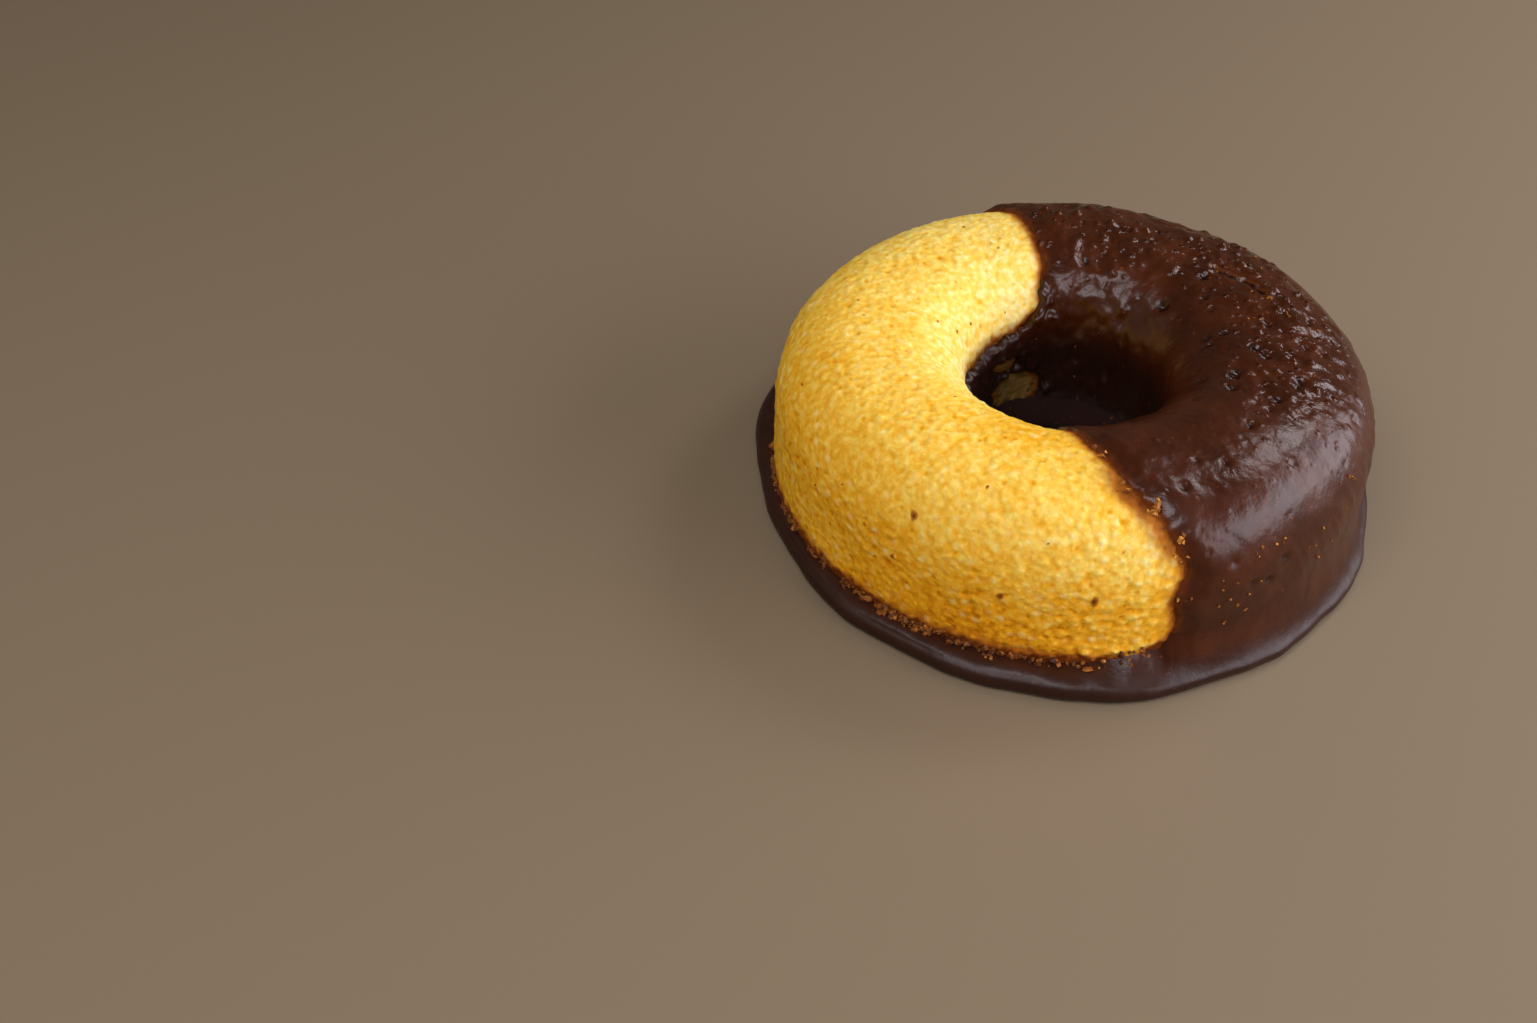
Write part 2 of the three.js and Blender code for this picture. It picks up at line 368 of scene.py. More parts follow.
# %% Shape the sponge
SPONGE_COLUMNS = 440
SPONGE_ROWS = 214  # over the outside
UNDERSIDE_ROWS = 5
SPONGE_SPAN = (math.radians(88), math.radians(290))
SPONGE_FINE_SHARE = 0.86
SWELL = (0.15, 9.0, 3)  # height and size in millimetres, and seed
LUMPS = (0.09, 2.4, 5)
MEDIUM_GRAIN = (0.09, 1.3, 11)
SMALL_GRAIN = (0.05, 0.75, 13)
GRAINS = (0.18, 1.05, 15)  # rounded grains
LARGE_GRAINS = (0.5, 1.5, 16)
PORES = (0.3, 2.0, 17)  # depth, spacing and seed
PORE_RADIUS = 0.19  # as a share of the spacing
CLOSED_SHARE = 0.35  # of the places for a pore
OPEN_CRUMB = (-88, 17)  # angle and spread in degrees
OPEN_CRUMB_END = (35, 75)  # it fades out between these climbs
FRAY = (FOOT_SLOPE_TOP + 0.3, FOOT_SLOPE_TOP + 2.2)  # the fraying ends between these heights


def bell(value, spread):
    """1 at 0, and fading out on both sides."""
    return np.exp(-((value / spread) ** 2))


def near_angle(angle, middle, spread):
    """1 at one angle round the ring, and fading out. Middle and spread are in degrees."""
    return bell(turn(math.radians(middle), angle), math.radians(spread))


def past_climb(climb, start, end):
    """A smooth step from 0 to 1 between two climbs, in degrees."""
    return ease(climb, math.radians(start), math.radians(end))


def open_crumb(angle, climb):
    """1 where the crumb is coarse and open, low on the front beside the seam."""
    return near_angle(angle, *OPEN_CRUMB) * (1 - past_climb(climb, *OPEN_CRUMB_END))


def crumb_relief(skin, angle, climb, height):
    """How far grains and pores stand off the smooth cake."""
    coarse = open_crumb(angle, climb)
    frayed = 1 - ease(height, *FRAY)
    medium = layered(skin, MEDIUM_GRAIN) * (0.7 + 0.5 * coarse + 0.6 * frayed)
    small = layered(skin, SMALL_GRAIN) * (1 + 0.5 * frayed)
    grain_distance, grain_number = cells(skin, *GRAINS[1:])
    grains = GRAINS[0] * (0.5 - grain_distance) * (0.2 + 1.3 * grain_number**2) * (1 + 0.5 * coarse + frayed)
    large_distance, large_number = cells(skin, *LARGE_GRAINS[1:])
    grains = grains + LARGE_GRAINS[0] * (0.5 - large_distance) * large_number**2 * (0.5 + coarse)
    pore_distance, pore_number = cells(skin, *PORES[1:])
    pore = np.maximum(0, 1 - (pore_distance / (PORE_RADIUS * (0.5 + pore_number))) ** 2)
    return medium + small + grains - PORES[0] * pore * (pore_number > CLOSED_SHARE)


sponge, angle, row = roll_ring(
    "sponge", SPONGE_ROWS + UNDERSIDE_ROWS, SPONGE_COLUMNS, SPONGE_SPAN, SPONGE_FINE_SHARE
)
length = np.clip(row / (SPONGE_ROWS - 1), 0, 1) * OUTLINE_LENGTH
radius, height = cake_surface(angle, length)
climb = climb_of(radius, height)
skin = to_row(angle, radius, height)
crumb = crumb_relief(skin, angle, climb, height)
swell = layered(skin, SWELL, LUMPS)
rough_radius, rough_height = cake_surface(angle, length, swell + crumb)
under = np.clip((row - SPONGE_ROWS + 1) / (UNDERSIDE_ROWS + 1), 0, 1)
outer_edge = cake_surface(angle, 0.0)[0]
inner_edge = cake_surface(angle, OUTLINE_LENGTH)[0]
below = row >= SPONGE_ROWS
rough_radius = np.where(below, inner_edge + (outer_edge - inner_edge) * under, rough_radius)
rough_height = np.where(below, CAKE_UNDERSIDE, rough_height)
move_vertices(sponge.data, to_row(angle, rough_radius, rough_height))
print("sponge:", 2 * len(sponge.data.polygons), "triangles")

# %% [markdown]
# The sponge's colour follows how it was baked, with painted shade mixed in: pale lemon inside the ring,
# golden on top and orange on the outside that touched the tin, with browner patches. The outside's orange is
# partly painted shade on the sides, and the low front is browner as painted shade. One number, for baking
# and painted shade, keeps that. A second one, for soak and painted shade, says where the cake drank
# chocolate and went toffee and caramel brown, widest at the front seam's shoulder, and low on the outside it
# also holds painted shade by the foot.
# Others mark a few dark flecks and the painted shade low in the hole.

# %% Mark the sponge for its colours
BAKE = 0.37  # on the crown: 0 is palest and 1 is brownest
OUTSIDE_BAKE_AND_SHADE = 0.33  # the outside is browner by this, partly from the tin and partly as painted shade on the sides, and the next three places by theirs, the low front's as painted shade
FRONT_RIM_BAKE = 0.34
LEFT_BAND_BAKE = 0.18
# painted shade: the low front is browner by this
LOW_FRONT_SHADE = 0.25
INSIDE_PALE = 0.19  # the inside of the ring is paler by this, and the next two places by theirs
BACK_SEAM_PALE = 0.10
OPEN_CRUMB_PALE = 0.12
BAKE_PATCHES = ((0.08, 8.0, 61), (0.05, 3.0, 63))  # layers of grain
SOAK_PATCHES = ((0.35, 1.8, 51), (0.3, 0.7, 57))
SOAK_WIDTH = 0.7
WIDE_SOAK = 0.95  # its strength at the shoulder of the front seam
WIDE_SOAK_WIDTH = 2.7
WIDE_SOAK_CLIMB = math.radians(62)
WIDE_SOAK_SPREAD = math.radians(28)
WIDE_SOAK_TURN = math.radians(14)
# low on the outside the sponge darkens towards the foot: partly real soak, partly painted shade
RIM_SOAK_AND_SHADE_TOP = 4.5
RIM_SOAK_AND_SHADE_WIDTH = 0.8
FLECKS = (  # angle and climb in degrees, and radius
    (-128.0, 34.0, 0.55),
    (-130.4, 4.5, 0.42),
    (-108.8, 4.5, 0.6),
    (-92.0, 8.7, 0.65),
)
FLECK_STRETCH = (1.3, 1.0, 0.8)
FLECK_GRAIN = (0.5, 0.6, 67)
SMALL_FLECKS = 26
FLECK_ANGLES = (110, 280)
FLECK_CLIMBS = (10, 150)
FLECK_RADII = (0.18, 0.3)
FLECK_SEED = 5
HOLE_SHADE_RADII = (14.5, 19)  # the painted shade in the hole is full below the first and ends at the second
HOLE_SHADE_HEIGHTS = (13, 21)


def spot(angle, climb, lift=0.0):
    """The point at one angle and one climb, lifted off the cake."""
    radius, height = cake_surface(angle, length_at(climb), lift)
    return to_row(np.array([angle]), radius, height)[0]


def bake_and_shade_share(skin, angle, climb):
    """0 is palest and 1 is brownest. The outside's share is partly painted shade, and the low front's is
    painted shade.
    """
    outside = 1 - past_climb(climb, 2, 50)
    inside = past_climb(climb, 95, 150)
    by_back_seam = bell(turn(BACK_SEAM, angle), math.radians(32))
    front_rim = near_angle(angle, -112, 26) * past_climb(climb, 78, 122)
    left_band = near_angle(angle, 192, 38) * bell(climb - math.radians(45), math.radians(30))
    # painted shade, darker low on the front
    low_front_shade = near_angle(angle, -112, 22) * (1 - past_climb(climb, -35, 12))
    browner = OUTSIDE_BAKE_AND_SHADE * outside + FRONT_RIM_BAKE * front_rim
    browner = browner + LEFT_BAND_BAKE * left_band + LOW_FRONT_SHADE * low_front_shade
    paler = INSIDE_PALE * inside + BACK_SEAM_PALE * by_back_seam
    paler = paler + OPEN_CRUMB_PALE * open_crumb(angle, climb)
    return BAKE + browner - paler + layered(skin, *BAKE_PATCHES)


def soak_and_shade_share(skin, angle, radius, height, climb):
    """1 where the cake is soaked with chocolate, fading out from the edge. Low on the outside it also holds
    painted shade by the foot.
    """
    uneven = layered(skin, *SOAK_PATCHES)
    at_front = bell(turn(front_seam(climb), angle), WIDE_SOAK_TURN)
    at_shoulder = bell(climb - WIDE_SOAK_CLIMB, WIDE_SOAK_SPREAD)
    distance = -coat_reach(angle, radius, height)
    line = np.exp(-np.maximum(distance + 0.7 * uneven, 0) / SOAK_WIDTH)
    zone = WIDE_SOAK * at_front * at_shoulder * bell(np.maximum(distance, 0), WIDE_SOAK_WIDTH)
    # partly real soak and partly painted shade, low by the foot
    rim_soak_and_shade = np.exp(-np.maximum(height - RIM_SOAK_AND_SHADE_TOP + 1.8 * uneven, 0) / RIM_SOAK_AND_SHADE_WIDTH)
    from_coat = np.maximum(line, zone * (1 + 0.8 * uneven))
    return np.maximum(from_coat, np.where(radius > CAKE_MID_RADIUS, rim_soak_and_shade, 0))


def hole_shade_share(radius, height):
    """1 low in the hole, where hardly any light gets in, so the colour gets painted shade there."""
    return (1 - ease(radius, *HOLE_SHADE_RADII)) * (1 - ease(height, *HOLE_SHADE_HEIGHTS))


def fleck_share(skin):
    """1 in the middle of a dark fleck."""
    draw = random.Random(FLECK_SEED)
    flecks = [(math.radians(a), math.radians(c), size) for a, c, size in FLECKS]
    for _ in range(SMALL_FLECKS):
        angle = math.radians(draw.uniform(*FLECK_ANGLES))
        climb = math.radians(draw.uniform(*FLECK_CLIMBS))
        flecks.append((angle, climb, draw.uniform(*FLECK_RADII)))
    share = np.zeros(len(skin))
    uneven = 1 + layered(skin, FLECK_GRAIN)
    for angle, climb, size in flecks:
        distance = np.linalg.norm((skin - spot(angle, climb)) * FLECK_STRETCH, axis=1) * uneven
        share = np.maximum(share, bell(distance, size))
    return share


# the crumb's height, which the material also turns into painted light on tops and painted shade in gaps
paint(sponge.data, "crumb", crumb)
paint(sponge.data, "bake_and_shade", bake_and_shade_share(skin, angle, climb))
# the soak, with painted shade low by the foot
paint(sponge.data, "soak_and_shade", soak_and_shade_share(skin, angle, radius, height, climb))
flecks = fleck_share(skin)
paint(sponge.data, "fleck", flecks)
# painted shade low in the hole, where hardly any light gets in
paint(sponge.data, "hole_shade", hole_shade_share(radius, height))
print("vertices on flecks:", int((flecks > 0.5).sum()))
print("sponge attributes:", [a.name for a in sponge.data.attributes if not a.name.startswith(".")])

# %% [markdown]
# ## The chocolate
# Coat and foot set as one piece, so they are one mesh. Its section starts under the foot, rounds the foot's
# edge, slopes up to the wall, runs over the crown and comes down again in the hole. On the dipped half the
# coat flows out into the foot, and on the bare half and in the hole the slope is low. Where the cake is
# bare, the same section sinks under its surface, and a Boolean with a slightly smaller cake cuts away what
# is sunk. That leaves a true shell with a natural, uneven edge.

# %% Section of the foot
FOOT_RADIUS = 43.4
FOOT_SHIFT = (0.9, 0.4)
FOOT_HOLE_RADIUS = 10.2
FOOT_EDGE = 1.6
FOOT_LOBE = 1.9
LOBE_ANGLE = math.radians(152)
LOBE_SPREAD = math.radians(24)
FOOT_WAVE = 0.2
FOOT_DRIP = (0.25, 4.5, 95)
FOOT_LUMP = (0.4, 2.4, 97)
HOLE_LUMPS = 2.0  # the slope in the hole is lumpier by this factor
HOLE_SLOPE_TOP = 4.4  # and it is low all round
SLOPE_FADE = math.radians(16)
BARE_SLOPE = {"edge_end": math.radians(60), "top": FOOT_SLOPE_TOP, "bend_out": 1.5, "bend_up": 0.75}
COATED_SLOPE = {"edge_end": math.radians(28), "top": 9.5, "bend_out": 1.7, "bend_up": 1.6}


def foot_radius(angle):
    """The foot's uneven outline."""
    shift = FOOT_SHIFT[0] * np.cos(angle) + FOOT_SHIFT[1] * np.sin(angle)
    waves = np.sin(3 * angle + 0.5) + np.sin(7 * angle) + np.sin(13 * angle + 2)
    lobe = FOOT_LOBE * bell(turn(LOBE_ANGLE, angle), LOBE_SPREAD)
    drips = layered(to_row(angle, FOOT_RADIUS, 0.0), FOOT_DRIP)
    return FOOT_RADIUS + shift + FOOT_WAVE * waves + lobe + drips


def slope_value(name, angle):
    """A size of the foot's slope, blended from the coated half to the bare half."""
    past_middle = np.abs(turn(DIPPED_MIDDLE, angle))
    bare = ease(past_middle, math.pi / 2 - SLOPE_FADE, math.pi / 2 + SLOPE_FADE)
    return COATED_SLOPE[name] + (BARE_SLOPE[name] - COATED_SLOPE[name]) * bare


def wall_end(angle, side):
    """The length along the section where the wall meets the slope: side is 1 outside and -1 in the hole."""
    outside = slope_value("top", angle) - CAKE_UNDERSIDE
    return np.where(side > 0, outside, OUTLINE_LENGTH - HOLE_SLOPE_TOP + CAKE_UNDERSIDE)


def edge_points(angle, radius, side, share):
    """Points round the foot's edge: share runs from 0 under it to 1 where the slope starts."""
    bend = -math.pi / 2 + (slope_value("edge_end", angle) + math.pi / 2) * share
    return radius + side * FOOT_EDGE * (np.cos(bend) - 1), FOOT_EDGE * (1 + np.sin(bend))


def slope_points(angle, radius, side, share):
    """Points up the foot's slope: share runs from 0 at its edge to 1 at the wall."""
    start_radius, start_height = edge_points(angle, radius, side, 1.0)
    length = wall_end(angle, side)
    end_radius, end_height = cake_surface(angle, length, coat_lift(angle, length))
    corner_radius = CAKE_MID_RADIUS + side * (CAKE_HALF_WIDTH + slope_value("bend_out", angle))
    corner_height = start_height + slope_value("bend_up", angle)
    lumps = layered(to_row(angle, corner_radius, 0.0), FOOT_LUMP)
    corner_height = corner_height + np.where(side > 0, lumps, HOLE_LUMPS * lumps)
    first, second, third = (1 - share) ** 2, 2 * share * (1 - share), share**2
    bent_radius = first * start_radius + second * corner_radius + third * end_radius
    return bent_radius, first * start_height + second * corner_height + third * end_height


# %% [markdown]
# Set chocolate isn't smooth. On the crown the crumb under it left lumps and knobs, air bubbles left pits,
# and a short crack opened. On the outer side it ran down in streaks. The shoulder at the front is smooth.
# Lumps, knobs and streaks are noise, each with its own part of the coat. The large dents are listed one by
# one, small pits are drawn with a fixed seed, and each presses the surface in round its middle.

# %% Lumps, pits and the crack
LUMP = (0.22, 3.0, 81)
RIPPLE = (0.28, 1.6, 83)
CREASE_DEPTH = 0.3
CREASE_LINES = (1.0, 2.4, 84)  # a crease runs where this layer is near 0
CREASE_WIDTH = 0.15
CREASE_PLACES = (1.0, 6.0, 86)  # and only where this one is high
KNOBS = (0.42, 2.1, 85)  # height, spacing and seed
KNOB_RADIUS = 0.36  # as a share of the spacing
KNOB_FREE_SHARE = 0.4  # of the places for a knob
STREAKS = (0.22, (0.8, 4.0, 5.0), 87)
STREAK_TILT = 0.45
PIT_COUNT = 130
PIT_RADIUS = (0.25, 0.55)
PIT_DEPTH = (0.5, 0.9)  # as a share of the radius
PIT_ANGLES = (-85, 100)
PIT_CLIMBS = (0, 150, 85)  # lowest, highest and likeliest
PIT_STEEPNESS = 1.6
PIT_SEED = 7
DENTS = (  # angle and climb in degrees, radius and depth in millimetres
    (-22.0, 110.5, 0.9, 0.7),
    (-24.8, 112.2, 1.0, 0.9),
    (-32.0, 109.6, 0.9, 0.7),
    (-22.0, 78.8, 0.9, 0.9),
    (-24.5, 79.5, 0.7, 0.7),
    (-8.4, 103.0, 0.9, 0.8),
    (-12.8, 98.2, 0.9, 0.8),
    (3.6, 93.5, 0.9, 0.6),
    (34.0, 102.1, 0.8, 0.6),
    (24.4, 113.3, 0.8, 0.6),
    (34.8, 131.2, 1.0, 0.8),
    (2.8, 126.3, 0.8, 0.6),
    (2.0, 116.8, 0.8, 0.6),
    (77.6, 121.2, 0.7, 0.6),
    (4.8, 69.6, 0.8, 0.6),
    (-6.4, 76.1, 0.8, 0.6),
    (-31.6, 85.2, 0.8, 0.6),
    (-26.8, 127.8, 0.8, 0.5),
    (-46.8, 85.8, 0.8, 0.6),
    (-73.6, 66.7, 0.7, 0.5),
    (-55.2, 16.5, 0.8, 0.5),
    (-67.2, 26.1, 0.6, 0.45),
    (-58.4, 5.8, 0.8, 0.5),
    (-62.4, 9.3, 0.6, 0.45),
)
CRACK_START = (math.radians(36), math.radians(90.5))  # angle and climb
CRACK_END = (math.radians(18), math.radians(82.5))
CRACK_WIDTH = 0.45
CRACK_DEPTH = 1.05
CRACK_WAVER = 0.015


def rough_share(angle, climb):
    """1 where the coat is full of knobs, on the crown away from the front."""
    crown = bell(climb - math.radians(84), math.radians(38))
    return crown * (0.2 + 0.8 * ease(angle, math.radians(-50), math.radians(-15)))


def draw_pits():
    """Middles, radii and depths of the pits: the dents, then small ones drawn by chance."""
    draw = random.Random(PIT_SEED)
    pits = [(spot(math.radians(a), math.radians(c)), size, depth) for a, c, size, depth in DENTS]
    while len(pits) < PIT_COUNT:
        angle = math.radians(draw.uniform(*PIT_ANGLES))
        climb = math.radians(draw.triangular(*PIT_CLIMBS))
        size = draw.uniform(*PIT_RADIUS)
        depth = draw.uniform(*PIT_DEPTH) * size
        if draw.random() < 0.1 + rough_share(angle, climb):
            pits.append((spot(angle, climb), size, depth))
    return pits


PITS = draw_pits()


def pit_depth(points):
    """How far the pits press each point in."""
    deepest = np.zeros(len(points))
    for middle, size, depth in PITS:
        distance = np.linalg.norm(points - middle, axis=1)
        deepest = np.maximum(deepest, depth * np.exp(-PIT_STEEPNESS * (distance / size) ** 2))
    return deepest


def crack_depth(angle, climb):
    """A short crack with a wavering course."""
    span = CRACK_END[0] - CRACK_START[0]
    share = np.clip((angle - CRACK_START[0]) / span, 0, 1)
    course = CRACK_START[1] + (CRACK_END[1] - CRACK_START[1]) * share + CRACK_WAVER * np.sin(7 * share)
    past_end = CAKE_MID_RADIUS * (angle - CRACK_START[0] - span * share)
    off = np.hypot(CAKE_HALF_WIDTH * (climb - course), past_end)
    return CRACK_DEPTH * bell(off, CRACK_WIDTH)


def coat_relief(points, angle, radius, climb):
    """How far lumps and pits stand off the smooth coat."""
    rough = rough_share(angle, climb)
    inner_back = past_climb(climb, 95, 120) * ease(angle, 0.3, 0.9)
    right_side = near_angle(angle, -22, 26) * (1 - ease(climb, 0.4, 0.8))
    lumps = layered(points, LUMP) * (0.4 + 0.5 * rough + 1.6 * inner_back)
    ripples = layered(points, RIPPLE) * (0.1 + 0.9 * rough + 0.7 * inner_back)
    folds = np.abs(layered(points, CREASE_LINES))
    creases = CREASE_DEPTH * np.maximum(0, 1 - folds / CREASE_WIDTH) * rough
    creases = creases * ease(layered(points, CREASE_PLACES), -0.1, 0.3)
    knob_distance, knob_number = cells(points, *KNOBS[1:])
    knob_tops = np.maximum(0, 1 - (knob_distance / KNOB_RADIUS) ** 2) * (knob_number > KNOB_FREE_SHARE)
    knobs = KNOBS[0] * knob_tops * (0.5 + knob_number) * rough
    along = radius * angle
    upright = np.column_stack([along + STREAK_TILT * points[:, 2], radius, points[:, 2]])
    streaks = layered(upright, STREAKS) * (0.15 + 0.85 * right_side)
    return lumps + ripples + knobs + streaks - creases - pit_depth(points) - crack_depth(angle, climb)


# %% [markdown]
# `coat_lift` puts it together: the coat thins out towards its seams, stays thick at the lumpy edge inside
# the hole, and dives under the cake's surface where the cake is bare.

# %% Thickness of the coat
COAT_THICKNESS = 1.0
COAT_SINK = 1.0
COAT_FEATHER = 0.6
COAT_RIPPLE = 0.2
THIN_EDGE = 0.28  # the coat's thickness at a seam
HOLE_EDGE = 1.0  # and at its edge inside the hole
EDGE_RAMP = 3.5  # it grows to full thickness over this distance
HOLE_RADII = (14.5, 18)  # the hole ends between these
RAGGED_EDGE = ((1.0, 2.3, 71), (0.45, 1.0, 73))
LUMPY_EDGE = ((0.7, 2.6, 75), (0.6, 1.2, 77))  # in the hole


def coat_lift(angle, length):
    """How far the chocolate's surface stands off the cake: sunk where the cake is bare."""
    radius, height = cake_surface(angle, length)
    points = to_row(angle, radius, height)
    climb = climb_of(radius, height)
    in_hole = 1 - ease(radius, *HOLE_RADII)
    wide, narrow = [layered(points, layer) for layer in RAGGED_EDGE]
    ragged = (0.3 + 0.7 * in_hole) * wide + narrow
    reach = coat_reach(angle, radius, height) + ragged
    waves = -COAT_RIPPLE * (np.sin(6 * angle + 2 * climb) + np.sin(11 * angle - 3 * climb)) / 2
    full = COAT_THICKNESS + waves + coat_relief(points, angle, radius, climb)
    large, small = [layered(points, layer) for layer in LUMPY_EDGE]
    hole_edge = HOLE_EDGE * (1 + large + small)
    edge = THIN_EDGE + (hole_edge - THIN_EDGE) * in_hole
    thickness = edge + (full - edge) * ease(reach, 0, EDGE_RAMP)
    return -COAT_SINK + (thickness + COAT_SINK) * ease(reach, -COAT_FEATHER, COAT_FEATHER)


# %% Shape the chocolate
CHOCOLATE_COLUMNS = 480
CHOCOLATE_SPAN = (math.radians(-112), math.radians(116))
CHOCOLATE_FINE_SHARE = 0.8
SECTION_ROWS = {"base": 5, "edge": 12, "slope": 14, "wall": 168, "inner_slope": 6, "inner_edge": 6}


def chocolate_points(angle, row):
    """Places the rows in the order of SECTION_ROWS."""
    outer = foot_radius(angle)
    inner = FOOT_HOLE_RADIUS + FOOT_WAVE * np.sin(4 * angle)
    radius = np.zeros_like(angle)
    height = np.zeros_like(angle)
    first_row = 0
    for part, count in SECTION_ROWS.items():
        here = (row >= first_row) & (row < first_row + count)
        share = (row[here] - first_row) / count
        first_row += count
        a = angle[here]
        if part == "base":
            radius[here] = inner[here] + FOOT_EDGE + (outer - inner - 2 * FOOT_EDGE)[here] * share
        elif part == "edge":
            radius[here], height[here] = edge_points(a, outer[here], 1, share)
        elif part == "slope":
            radius[here], height[here] = slope_points(a, outer[here], 1, share)
        elif part == "wall":
            start, end = wall_end(a, 1), wall_end(a, -1)
            length = start + (end - start) * share
            radius[here], height[here] = cake_surface(a, length, coat_lift(a, length))
        elif part == "inner_slope":
            radius[here], height[here] = slope_points(a, inner[here], -1, 1 - share)
        else:
            radius[here], height[here] = edge_points(a, inner[here], -1, 1 - share)
    return to_row(angle, radius, height)


chocolate, angle, row = roll_ring(
    "chocolate_shell", sum(SECTION_ROWS.values()), CHOCOLATE_COLUMNS, CHOCOLATE_SPAN, CHOCOLATE_FINE_SHARE
)
move_vertices(chocolate.data, chocolate_points(angle, row))
print("raw chocolate:", 2 * len(chocolate.data.polygons), "triangles")

# %% [markdown]
# The cutter is the same cake, a little smaller, so that the chocolate keeps hold of the crumb at its edge.
# The Boolean runs as a modifier, and its result replaces the raw mesh.

# %% Cut the cake out of the chocolate
CORE_COLUMNS = 150
CORE_ROWS = 60
CORE_INSET = 0.35

core, angle, row = roll_ring("cake_core", CORE_ROWS, CORE_COLUMNS, CHOCOLATE_SPAN, CHOCOLATE_FINE_SHARE)
core_radius, core_height = cake_surface(angle, row / (CORE_ROWS - 1) * OUTLINE_LENGTH, -CORE_INSET)
move_vertices(core.data, to_row(angle, core_radius, core_height))
cut = chocolate.modifiers.new("cut", "BOOLEAN")
cut.object = core
cut.operation = "DIFFERENCE"
cut.solver = "MANIFOLD"
graph = bpy.context.evaluated_depsgraph_get()
shell = bpy.data.meshes.new_from_object(chocolate.evaluated_get(graph))
chocolate.modifiers.clear()
chocolate.data = shell
bpy.data.objects.remove(core)
print("chocolate:", sum(len(face.vertices) - 2 for face in shell.polygons), "triangles")

# %% Mark the chocolate for its colours
THIN_WIDTH = 0.8
THIN_PATCHES = (0.4, 0.9, 91)
THIN_RADII = (16, 19)  # the thin edge in the hole doesn't count
FULL_PIT_SHADE = 0.4  # pits pressed in this far get the full painted shade
FULL_CRACK = 0.7
FOOT_HEIGHTS = (2.5, 6.0)  # the foot ends between these
LEDGE_RADII = (13, 15)
LEDGE_HEIGHTS = (4.8, 7.0)


def mark_chocolate(mesh):
    """Marks for the material, each from 0 to 1.

    thin is the coat's edge and rough is where small knobs stand. The marks low in the hole and in the pits
    carry painted shade, foot is the foot, and ledge is the foot's slope in the hole.
    """
    points = vertex_points(mesh)
    angle, radius, height = ring_place(points)
    climb = climb_of(radius, height)
    reach = coat_reach(angle, radius, height) + layered(points, THIN_PATCHES)
    on_wall = height > slope_value("top", angle) + 0.8
    under_coat = to_row(angle, *cake_surface(angle, length_at(climb)))
    thin = np.exp(-np.maximum(reach, 0) / THIN_WIDTH) * ease(radius, *THIN_RADII)
    paint(mesh, "thin", np.where(on_wall, thin, 0))
    # painted shade in the pits
    paint(mesh, "pit_shade", np.where(on_wall, np.clip(pit_depth(under_coat) / FULL_PIT_SHADE, 0, 1), 0))
    # the crack: rust at its edges, and painted shade in its middle
    paint(mesh, "crack", np.clip(crack_depth(angle, climb) / FULL_CRACK, 0, 1))
    paint(mesh, "rough", np.where(reach > 0, rough_share(angle, climb), 0))
    # painted shade low in the hole, where hardly any light gets in
    paint(mesh, "hole_shade", hole_shade_share(radius, height))
    paint(mesh, "foot", 1 - ease(height, *FOOT_HEIGHTS))
    paint(mesh, "ledge", (1 - ease(radius, *LEDGE_RADII)) * (1 - ease(height, *LEDGE_HEIGHTS)))


mark_chocolate(shell)
for piece in (sponge, chocolate):
    piece.data.polygons.foreach_set("use_smooth", np.ones(len(piece.data.polygons), dtype=bool))
print("chocolate attributes:", [a.name for a in shell.attributes if not a.name.startswith(".")])

# %% [markdown]
# ## Crumbs
# Dipping breaks crumbs off the cake, and they stick to the chocolate: in clumps along the foot, a few on
# both seams and by the crack, and single ones on the walls and in the hole. Each is a coarse ball with its
# corners pushed about, and all of them are one mesh.

# %% Scatter the crumbs
CRUMB_SEED = 19
RIM_CLUMPS = (  # first and last angle in degrees, and the number of crumbs
    (140, 176, 24),
    (176, 191, 95),
    (194, 202, 85),
    (207, 214, 24),
    (218, 226, 40),
    (227, 239, 150),
    (239, 262, 60),
    (262, 281, 36),
)
RIM_TONE = 0.25  # 0 is the darkest crumb and 1 the most golden
SEAM_TONE = 0.62
COAT_TONE = 0.45
# crumbs in the hole are darker: painted shade
HOLE_SHADE_TONE = -0.1
RIM_SIZE = 0.27  # the usual radius of a crumb on the foot
RIM_SIZE_SPREAD = 0.4
RIM_SIZE_LARGEST = 0.55
SEAM_SIZES = (0.2, 0.42)
SEAM_LIFT = 0.35
COAT_SIZES = (0.1, 0.24)
HOLE_END = 20  # a crumb nearer to the axis than this is in the hole
SEAM_CRUMBS = (  # angle and climb in degrees, spread in millimetres, and number
    (-80.8, 57.9, 0.45, 20),
    (-76.8, 42.0, 0.25, 9),
    (-87.6, 71.2, 0.5, 5),
    (-90.8, 97.1, 0.6, 4),
    (-76.4, 31.0, 0.5, 4),
    (-75.6, 9.3, 0.6, 4),
    (96.4, 152.5, 0.4, 6),
    (102.8, 168.0, 0.4, 4),
)
COAT_CRUMBS = (  # angle and climb in degrees, spread in degrees, and the number of crumbs
    (34.5, 90.0, 2.0, 6),
    (15.2, 82.3, 1.5, 5),
    (7.2, 78.4, 1.5, 4),
    (6.8, 97.7, 1.5, 4),
    (-62.4, 27.2, 2.0, 4),
    (-56.8, 26.4, 2.0, 3),
    (-35.6, 32.4, 1.5, 4),
    (-66.0, -20.0, 6.0, 5),
    (-66.0, 10.0, 10.0, 9),
    (-48.0, 12.0, 12.0, 7),
    (60.0, 160.0, 25.0, 9),
    (20.0, 80.0, 25.0, 10),
)


